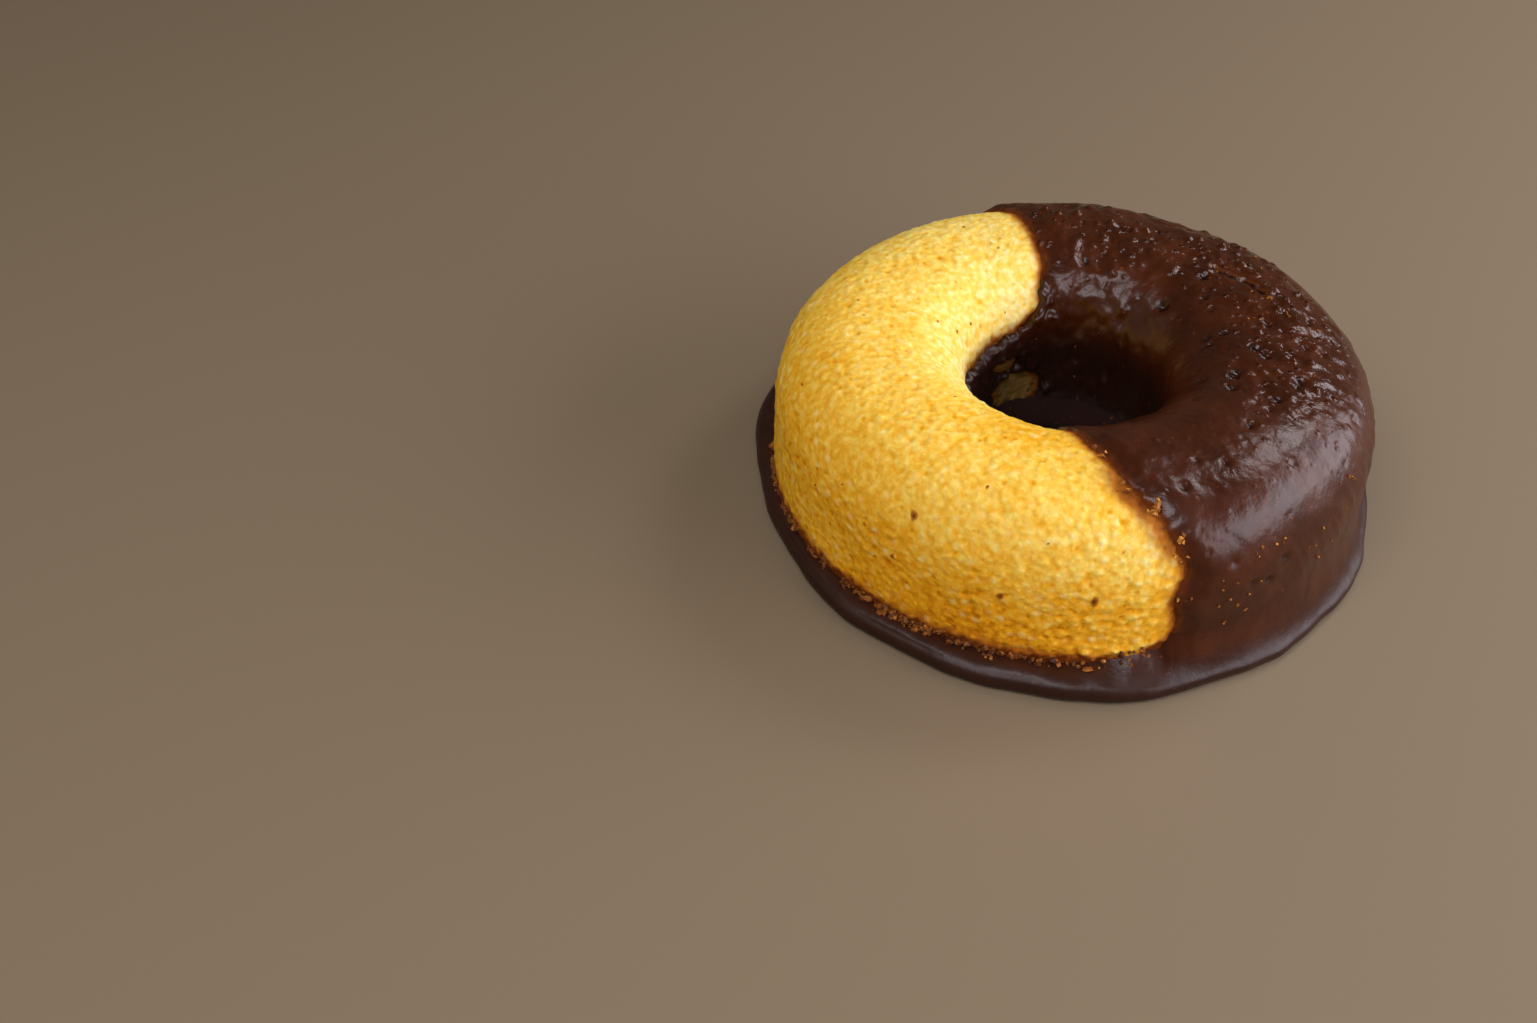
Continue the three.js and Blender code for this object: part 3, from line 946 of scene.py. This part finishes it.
def rim_crumbs(draw):
    for first, last, count in RIM_CLUMPS:
        for _ in range(count):
            angle = np.array([math.radians(draw.uniform(first, last))])
            share = draw.triangular(0.55, 1.0, 0.9)
            radius, height = slope_points(angle, foot_radius(angle), 1, share)
            on_cake = cake_surface(angle, wall_end(angle, 1))[0]
            size = min(RIM_SIZE_LARGEST, draw.lognormvariate(math.log(RIM_SIZE), RIM_SIZE_SPREAD))
            heaped = max(0, draw.gauss(0.1, 0.3))
            yield to_row(angle, np.maximum(radius, on_cake + 0.1), height + heaped)[0], size, RIM_TONE


def seam_crumbs(draw):
    for angle, climb, spread, count in SEAM_CRUMBS:
        middle = spot(math.radians(angle), math.radians(climb), SEAM_LIFT)
        for _ in range(count):
            yield middle + [draw.gauss(0, spread) for _ in range(3)], draw.uniform(*SEAM_SIZES), SEAM_TONE


def coat_crumbs(draw):
    for angle, climb, spread, count in COAT_CRUMBS:
        for _ in range(count):
            turned = np.array([math.radians(angle + draw.gauss(0, spread) / 2)])
            length = np.array([length_at(math.radians(climb + draw.gauss(0, spread)))])
            size = draw.uniform(*COAT_SIZES)
            radius, height = cake_surface(turned, length, coat_lift(turned, length) + 0.4 * size)
            # crumbs in the hole get the darker tone of painted shade
            tone_and_shade = HOLE_SHADE_TONE if radius[0] < HOLE_END else COAT_TONE
            yield to_row(turned, radius, height)[0], size, tone_and_shade


def make_crumbs():
    draw = random.Random(CRUMB_SEED)
    heap = bmesh.new()
    places = itertools.chain(rim_crumbs(draw), seam_crumbs(draw), coat_crumbs(draw))
    tones = []
    for point, size, tone_and_shade in places:
        spin = Euler([draw.uniform(0, math.tau) for _ in range(3)])
        shape = Vector([size * MM * draw.uniform(0.5, 1.4) for _ in range(3)])
        place = Matrix.LocRotScale(Vector(point * MM), spin, shape)
        made = bmesh.ops.create_icosphere(heap, subdivisions=1, radius=1, matrix=place)
        for vert in made["verts"]:
            vert.co += Vector([draw.gauss(0, 0.24 * size * MM) for _ in range(3)])
        tones += [tone_and_shade + draw.gauss(0, 0.12)] * len(made["verts"])
    mesh = bpy.data.meshes.new("crumbs")
    heap.to_mesh(mesh)
    heap.free()
    paint(mesh, "tone_and_shade", tones)
    piece = bpy.data.objects.new("crumbs", mesh)
    bpy.context.scene.collection.objects.link(piece)
    return piece


crumbs = make_crumbs()
print("crumbs:", len(crumbs.data.polygons), "triangles")

# %% [markdown]
# ## Materials
# A small helper makes a node, sets its plain inputs and links the rest, so each material reads as a recipe.

# %% Helpers for materials
def new_material(name):
    material = bpy.data.materials.new(name)
    material.use_nodes = True
    return material, material.node_tree


def add(tree, kind, **inputs):
    """Adds a node. A value sets an input, and another node's output is linked to it."""
    node = tree.nodes.new("ShaderNode" + kind)
    for label, value in inputs.items():
        socket = node.inputs[label.replace("_", " ")]
        if isinstance(value, bpy.types.NodeSocket):
            tree.links.new(value, socket)
        else:
            socket.default_value = value
    return node


def attribute(tree, name):
    node = tree.nodes.new("ShaderNodeAttribute")
    node.attribute_name = name
    return node.outputs["Fac"]


def scale_to(tree, value, low, high, new_low=0.0, new_high=1.0):
    """Maps a range of values to another, held at its ends."""
    node = add(tree, "MapRange", Value=value)
    limits = {"From Min": low, "From Max": high, "To Min": new_low, "To Max": new_high}
    for label, number in limits.items():
        node.inputs[label].default_value = number
    return node.outputs["Result"]


def join(tree, operation, values):
    """Joins values of other nodes, from left to right."""
    result = values[0]
    for value in values[1:]:
        node = tree.nodes.new("ShaderNodeMath")
        node.operation = operation
        tree.links.new(result, node.inputs[0])
        tree.links.new(value, node.inputs[1])
        result = node.outputs[0]
    return result


def total(tree, *values):
    return join(tree, "ADD", values)


def times(tree, *values):
    return join(tree, "MULTIPLY", values)


def mix(tree, share, first, second):
    """Mixes two colours, each a value or another node's output."""
    node = tree.nodes.new("ShaderNodeMix")
    node.data_type = "RGBA"
    for place, value in ((0, share), (6, first), (7, second)):  # the Mix node's sockets for colours
        if isinstance(value, bpy.types.NodeSocket):
            tree.links.new(value, node.inputs[place])
        else:
            node.inputs[place].default_value = value
    return node.outputs[2]


def ramp(tree, share, colours):
    """Runs evenly through a row of colours."""
    node = add(tree, "ValToRGB", Fac=share)
    stops = node.color_ramp.elements
    while len(stops) < len(colours):
        stops.new(0.5)
    for number, colour in enumerate(colours):
        stops[number].position = number / (len(colours) - 1)
        stops[number].color = colour
    return node.outputs["Color"]


def object_place(tree):
    return tree.nodes.new("ShaderNodeTexCoord").outputs["Object"]


# %% [markdown]
# Sponge is soft and lets a little light in, so it has subsurface scattering. Its colour is one ramp, from
# cream through lemon and gold to amber. Where a place falls on the ramp is a sum: how it was baked with its
# painted shade, how high it stands in the crumb, two fine textures and some small pores. Height, pebbles and
# pores put cream on the grains' tops and amber in the gaps and pores: painted light and painted shade. Pale
# grains are mixed in, partly real crumb and partly painted glints, and then the brown of the soaked edge
# with painted shade by the foot, the flecks and the painted shade low in the hole.

# %% Sponge material
SPONGE_RAMP = (
    (0.97, 0.79, 0.34, 1),
    (0.95, 0.69, 0.16, 1),
    (0.92, 0.58, 0.080, 1),
    (0.87, 0.46, 0.030, 1),
    (0.82, 0.37, 0.008, 1),
    (0.62, 0.23, 0.004, 1),
)
CARAMEL = (0.14, 0.031, 0.004, 1)
TOFFEE = (0.40, 0.122, 0.010, 1)
# cream grains, partly real crumb and partly painted glints
CREAM_GRAINS_AND_GLINTS = (0.98, 0.82, 0.33, 1)
# the colour of the painted shade low in the hole
HOLE_SHADE_COLOUR = (0.10, 0.034, 0.001, 1)


def sponge_material():
    material, tree = new_material("golden_sponge")
    place = object_place(tree)
    fine = add(tree, "TexNoise", Vector=place, Scale=900.0, Detail=4.0, Roughness=0.6).outputs["Fac"]
    rounded = add(tree, "TexVoronoi", Vector=place, Scale=1150.0)
    rounded.feature = "SMOOTH_F1"
    pebbles = rounded.outputs["Distance"]
    sparse = add(tree, "TexVoronoi", Vector=place, Scale=700.0)
    near = sparse.outputs["Distance"]
    chance = add(tree, "SeparateColor", Color=sparse.outputs["Color"]).outputs["Red"]
    # pale grains: partly real crumb, partly painted glints
    pale = times(tree, scale_to(tree, near, 0.5, 0.1), scale_to(tree, chance, 0.6, 1.0, 0.0, 0.6))
    pores = times(tree, scale_to(tree, near, 0.32, 0.1), scale_to(tree, chance, 0.3, 0.1))
    # the crumb's height, the pebbles and the pores paint light on the tops of grains and shade in the gaps
    # and pores
    share = total(
        tree,
        attribute(tree, "bake_and_shade"),
        scale_to(tree, attribute(tree, "crumb"), 0.25, -0.5, -0.3, 0.52),
        scale_to(tree, pebbles, 0.1, 0.6, -0.08, 0.08),
        scale_to(tree, fine, 0.32, 0.68, -0.18, 0.18),
        scale_to(tree, pores, 0.0, 1.0, 0.0, 0.3),
    )
    colour = mix(tree, pale, ramp(tree, share, SPONGE_RAMP), CREAM_GRAINS_AND_GLINTS)
    # the soaked edge, with painted shade low by the foot
    soak_and_shade = attribute(tree, "soak_and_shade")
    colour = mix(tree, scale_to(tree, soak_and_shade, 0.08, 0.5, 0.0, 0.92), colour, TOFFEE)
    colour = mix(tree, scale_to(tree, soak_and_shade, 0.5, 1.0), colour, CARAMEL)
    fleck = attribute(tree, "fleck")
    colour = mix(tree, scale_to(tree, fleck, 0.25, 0.5, 0.0, 0.9), colour, TOFFEE)
    colour = mix(tree, scale_to(tree, fleck, 0.55, 0.9), colour, CARAMEL)
    # painted shade low in the hole
    colour = mix(tree, scale_to(tree, attribute(tree, "hole_shade"), 0.2, 1.0, 0.0, 0.9), colour, HOLE_SHADE_COLOUR)
    height = total(
        tree, scale_to(tree, pebbles, 0.0, 0.7, 1.0, 0.0), fine, scale_to(tree, pores, 0.0, 1.0, 0.0, -1.0)
    )
    bump = add(tree, "Bump", Height=height, Strength=0.45, Distance=0.0003)
    shader = tree.nodes["Principled BSDF"]
    tree.links.new(colour, shader.inputs["Base Color"])
    tree.links.new(bump.outputs["Normal"], shader.inputs["Normal"])
    shader.inputs["Roughness"].default_value = 0.8
    shader.inputs["Specular IOR Level"].default_value = 0.06
    shader.inputs["Subsurface Weight"].default_value = 0.6
    shader.inputs["Subsurface Radius"].default_value = (1.0, 0.5, 0.12)
    shader.inputs["Subsurface Scale"].default_value = 0.0005
    return material


sponge.data.materials.append(sponge_material())
print("sponge material:", sponge.data.materials[0].name)

# %% [markdown]
# Dark chocolate has a satin gloss, duller on the foot and in the hole. It turns rusty at its thin edges, by
# the crack and in small specks. Its pits, the middle of its crack and the low part of the hole are painted
# darker, as painted shade. A fine grain, drawn out upwards, breaks its reflections up, and small knobs on
# the crown catch the light. These knobs are finer than the mesh, so they are bump: a cell texture makes
# them, and its random colours thin them out.

# %% Chocolate material
DARK = (0.036, 0.0070, 0.0012, 1)
WARM = (0.062, 0.0130, 0.0024, 1)
# painted shade, for the pits, the middle of the crack and low in the hole
SHADE = (0.013, 0.0022, 0.0004, 1)
RUST = (0.20, 0.044, 0.005, 1)
PLUM = (0.020, 0.0052, 0.0026, 1)


def chocolate_material():
    material, tree = new_material("dark_chocolate")
    place = object_place(tree)
    broad = add(tree, "TexNoise", Vector=place, Scale=180.0, Detail=4.0).outputs["Fac"]
    drawn_out = add(tree, "Mapping", Vector=place, Scale=(1.0, 1.0, 0.35)).outputs["Vector"]
    fine = add(tree, "TexNoise", Vector=drawn_out, Scale=1500.0, Detail=3.0).outputs["Fac"]
    specks = add(tree, "TexNoise", Vector=place, Scale=900.0, Detail=2.0).outputs["Fac"]
    colour = mix(tree, scale_to(tree, broad, 0.35, 0.7), DARK, WARM)
    foot = attribute(tree, "foot")
    colour = mix(tree, scale_to(tree, foot, 0.0, 1.0, 0.0, 0.8), colour, PLUM)
    # painted shade low in the hole
    colour = mix(tree, attribute(tree, "hole_shade"), colour, SHADE)
    # painted shade in the pits
    colour = mix(tree, scale_to(tree, attribute(tree, "pit_shade"), 0.3, 1.0, 0.0, 0.8), colour, SHADE)
    crack = attribute(tree, "crack")
    colour = mix(tree, scale_to(tree, crack, 0.1, 0.5, 0.0, 0.45), colour, RUST)
    # painted shade in the middle of the crack
    colour = mix(tree, scale_to(tree, crack, 0.6, 0.85), colour, SHADE)
    colour = mix(tree, scale_to(tree, specks, 0.70, 0.78, 0.0, 0.6), colour, RUST)
    colour = mix(tree, scale_to(tree, attribute(tree, "thin"), 0.2, 1.0, 0.0, 0.8), colour, RUST)
    small_cells = add(tree, "TexVoronoi", Vector=place, Scale=800.0)
    chance = add(tree, "SeparateColor", Color=small_cells.outputs["Color"]).outputs["Red"]
    knobs = times(
        tree,
        scale_to(tree, small_cells.outputs["Distance"], 0.4, 0.0),
        scale_to(tree, chance, 0.5, 0.9),
        attribute(tree, "rough"),
    )
    uneven = add(tree, "TexNoise", Vector=place, Scale=420.0, Detail=3.0).outputs["Fac"]
    swollen = times(tree, uneven, scale_to(tree, attribute(tree, "rough"), 0.0, 1.0, 0.7, 2.2))
    waved = add(tree, "Bump", Height=swollen, Strength=0.25, Distance=0.0007).outputs["Normal"]
    grained = add(tree, "Bump", Height=fine, Normal=waved, Strength=0.2, Distance=0.0002).outputs["Normal"]
    bump = add(tree, "Bump", Height=knobs, Normal=grained, Strength=1.0, Distance=0.0006)
    shader = tree.nodes["Principled BSDF"]
    tree.links.new(colour, shader.inputs["Base Color"])
    wet = scale_to(tree, attribute(tree, "rough"), 0.2, 1.0, 0.0, -0.1)
    matt = scale_to(tree, attribute(tree, "hole_shade"), 0.3, 1.0, 0.0, 0.12)
    dull = scale_to(tree, foot, 0.0, 1.0, 0.0, 0.12)
    dusty = scale_to(tree, attribute(tree, "ledge"), 0.0, 1.0, 0.0, 0.5)
    gloss = total(tree, scale_to(tree, broad, 0.3, 0.7, 0.26, 0.36), wet, matt, dull, dusty)
    tree.links.new(gloss, shader.inputs["Roughness"])
    tree.links.new(bump.outputs["Normal"], shader.inputs["Normal"])
    shader.inputs["Specular IOR Level"].default_value = 0.32
    return material


shell.materials.clear()
shell.materials.append(chocolate_material())
print("chocolate material:", shell.materials[0].name)

# %% [markdown]
# The crumbs come from the cake's browned skin, so they are toffee coloured, some darker than others. Those
# in the hole are darker still, as painted shade.

# %% Crumb material
CRUMB_DARK = (0.05, 0.011, 0.002, 1)
CRUMB_BROWN = (0.30, 0.095, 0.012, 1)
CRUMB_LIGHT = (0.80, 0.38, 0.055, 1)


def crumb_material():
    material, tree = new_material("toasted_crumb")
    place = object_place(tree)
    broad = add(tree, "TexNoise", Vector=place, Scale=1400.0, Detail=2.0).outputs["Fac"]
    tone_and_shade = total(tree, attribute(tree, "tone_and_shade"), scale_to(tree, broad, 0.3, 0.7, -0.3, 0.3))
    colour = ramp(tree, tone_and_shade, (CRUMB_DARK, CRUMB_BROWN, CRUMB_LIGHT))
    shader = tree.nodes["Principled BSDF"]
    tree.links.new(colour, shader.inputs["Base Color"])
    shader.inputs["Roughness"].default_value = 0.6
    shader.inputs["Specular IOR Level"].default_value = 0.3
    return material


crumbs.data.materials.append(crumb_material())
print("crumb material:", crumbs.data.materials[0].name)

# %% [markdown]
# ## Attach the pieces
# Each piece rides on the doughnut's one body, and the CAD model's cake and chocolate are hidden.

# %% Ride and replace
for piece, slot in ((sponge, "sponge"), (chocolate, "dark_chocolate"), (crumbs, "sponge")):
    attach(piece, "root")
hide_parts("cake")
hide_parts("chocolate")

# %% [markdown]
# ## Floor, light and camera
# A plain floor, four soft boxes and a dim sky make studio light. Two on the right show the cake's grain and
# give the chocolate's shoulder its satin sheen. One high in front finds the inside of the ring, and a weak
# one on the left fills the shaded side.

# %% Floor
def make_floor():
    shape = bmesh.new()
    bmesh.ops.create_grid(shape, x_segments=1, y_segments=1, size=1.5)
    mesh = bpy.data.meshes.new("floor")
    shape.to_mesh(mesh)
    shape.free()
    floor = bpy.data.objects.new("floor", mesh)
    bpy.context.scene.collection.objects.link(floor)
    material, tree = new_material("pale_floor")
    tree.nodes["Principled BSDF"].inputs["Base Color"].default_value = (0.20, 0.15, 0.09, 1)
    tree.nodes["Principled BSDF"].inputs["Roughness"].default_value = 0.8
    mesh.materials.append(material)


make_floor()

# %% Lights and sky
AIM = Vector((0.0, 0.0, 0.012))


def soft_box(name, azimuth, elevation, distance, width, height, power, colour):
    """A flat light aimed at the doughnut. Azimuth 0 stands at -Y and 90 at +X, in degrees."""
    light = bpy.data.lights.new(name, "AREA")
    light.shape = "RECTANGLE"
    light.size = width
    light.size_y = height
    light.energy = power
    light.color = colour
    turned = math.radians(azimuth)
    level = math.cos(math.radians(elevation))
    way = Vector((math.sin(turned) * level, -math.cos(turned) * level, math.sin(math.radians(elevation))))
    lamp = bpy.data.objects.new(name, light)
    lamp.location = AIM + way * distance
    lamp.rotation_euler = way.to_track_quat("Z", "Y").to_euler()
    bpy.context.scene.collection.objects.link(lamp)


soft_box("side_light", 76, 20, 0.45, 0.66, 0.27, 3.0, (0.95, 0.91, 1.0))
soft_box("back_light", 124, 46, 0.45, 0.13, 0.12, 0.5, (0.98, 0.94, 0.97))
soft_box("front_light", -26, 55, 0.50, 0.34, 0.20, 1.5, (0.97, 0.93, 0.99))
soft_box("fill_light", -70, 34, 0.60, 0.70, 0.50, 0.3, (1.0, 0.92, 0.76))
world = bpy.data.worlds.new("sky")
world.use_nodes = True
world.node_tree.nodes["Background"].inputs["Color"].default_value = (1.0, 0.86, 0.68, 1)
world.node_tree.nodes["Background"].inputs["Strength"].default_value = 0.125
bpy.context.scene.world = world
bpy.context.scene.view_settings.view_transform = "Standard"

# %% Camera
CAMERA_PLACE = (-0.04138, -0.18274, 0.16681)  # from the ring's axis, in metres
CAMERA_PITCH = 43.55  # degrees below level
PHOTO_WIDTH = 1537
FOCAL_LENGTH = 1700  # in the photograph's pixels
SENSOR_WIDTH = 36.0

camera = bpy.data.objects.new("camera", bpy.data.cameras.new("camera"))
camera.data.sensor_width = SENSOR_WIDTH
camera.data.sensor_fit = "HORIZONTAL"
camera.data.lens = SENSOR_WIDTH * FOCAL_LENGTH / PHOTO_WIDTH
camera.data.clip_start = 0.01
camera.location = Vector(CAMERA_PLACE) + Vector((ring_axis[0] * MM, ring_axis[1] * MM, 0))
camera.rotation_euler = (math.radians(90 - CAMERA_PITCH), 0, 0)
bpy.context.scene.collection.objects.link(camera)
bpy.context.scene.camera = camera
